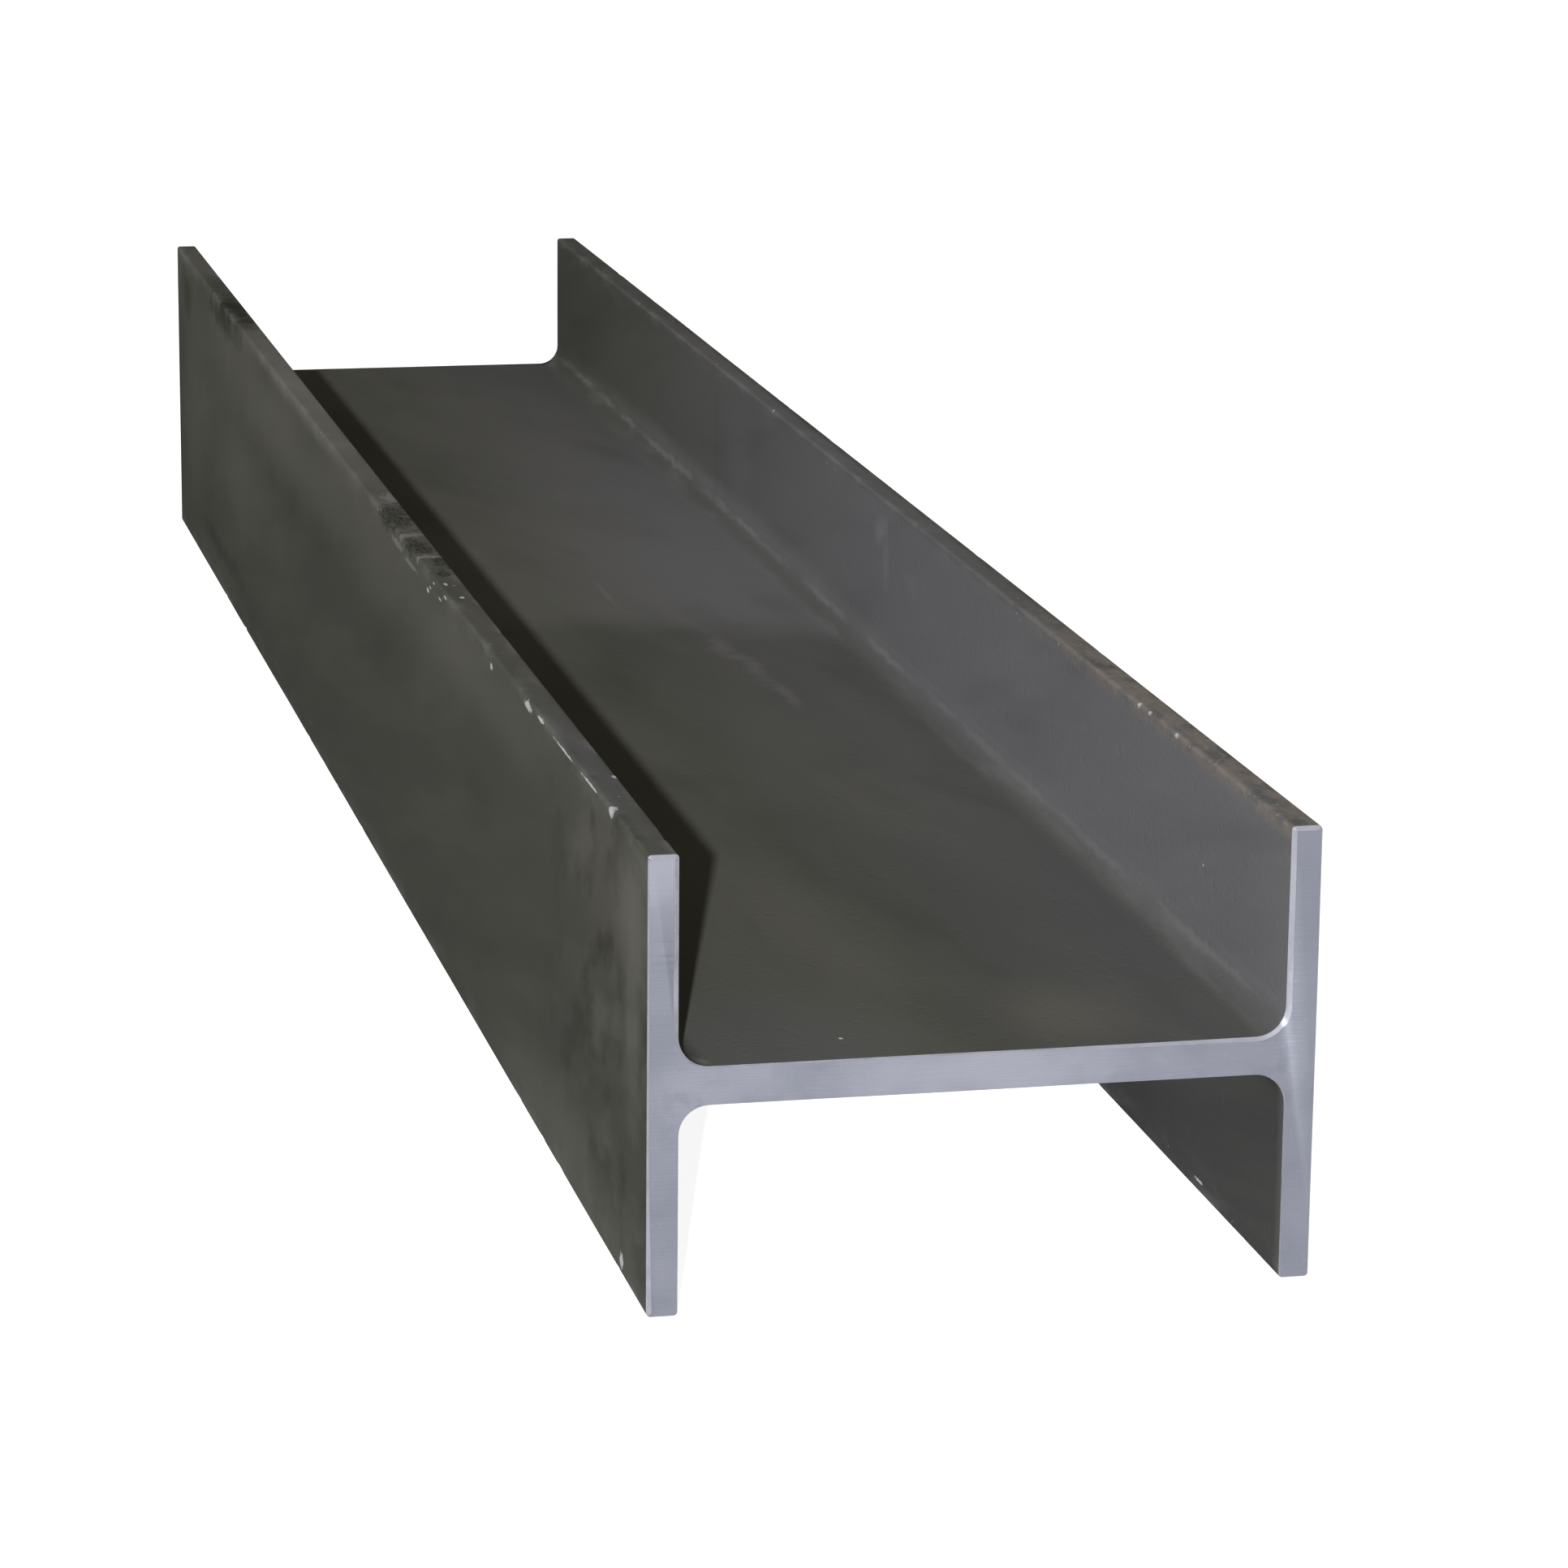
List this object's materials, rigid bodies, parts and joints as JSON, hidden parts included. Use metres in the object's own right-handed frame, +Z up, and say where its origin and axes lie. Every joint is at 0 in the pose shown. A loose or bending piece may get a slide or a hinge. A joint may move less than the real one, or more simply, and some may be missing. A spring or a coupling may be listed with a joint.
{
  "type": "steel h-beam",
  "caption": "Cut length of hot-rolled steel H-beam with square sawn ends, lying with its web level on the toes of its flanges.",
  "frame": {"origin": "on the ground under the middle of the beam", "axes": "+X from flange to flange, +Y along the beam, +Z up"},
  "size_m": [0.294, 1.8, 0.203],
  "materials": {
    "rolled_steel": "satin"
  },
  "bodies": {
    "root": {"h_beam": "rolled_steel"}
  },
  "joints": []
}
